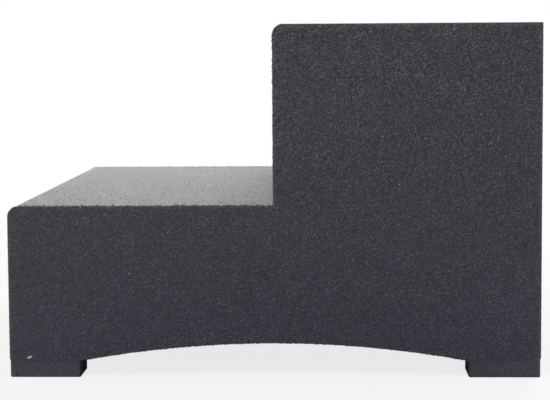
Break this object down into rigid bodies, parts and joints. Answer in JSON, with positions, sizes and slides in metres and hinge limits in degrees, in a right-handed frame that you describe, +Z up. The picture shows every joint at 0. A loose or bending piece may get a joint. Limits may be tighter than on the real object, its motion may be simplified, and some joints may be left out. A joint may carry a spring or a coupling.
{
  "type": "trailer entry step",
  "caption": "Free-standing stepped block for a trailer door: foam core with rounded tread noses, an arched underside and glued corner feet, all under a granular non-slip coat",
  "frame": {"origin": "On the floor, under the middle of the step's outline: the bottom centre of its box.", "axes": "+X runs from the low front tread to the high back, +Y to the left of someone who climbs it, +Z up."},
  "size_m": [0.6096, 0.6096, 0.404],
  "materials": {
    "sprayed_coat": "satin",
    "white_foam": "matte"
  },
  "bodies": {
    "root": {"foam_core": "white_foam", "step_coat": "sprayed_coat", "front_left_foot_block": "white_foam", "front_left_foot_coat": "sprayed_coat", "front_right_foot_block": "white_foam", "front_right_foot_coat": "sprayed_coat", "back_left_foot_block": "white_foam", "back_left_foot_coat": "sprayed_coat", "back_right_foot_block": "white_foam", "back_right_foot_coat": "sprayed_coat"}
  },
  "joints": []
}
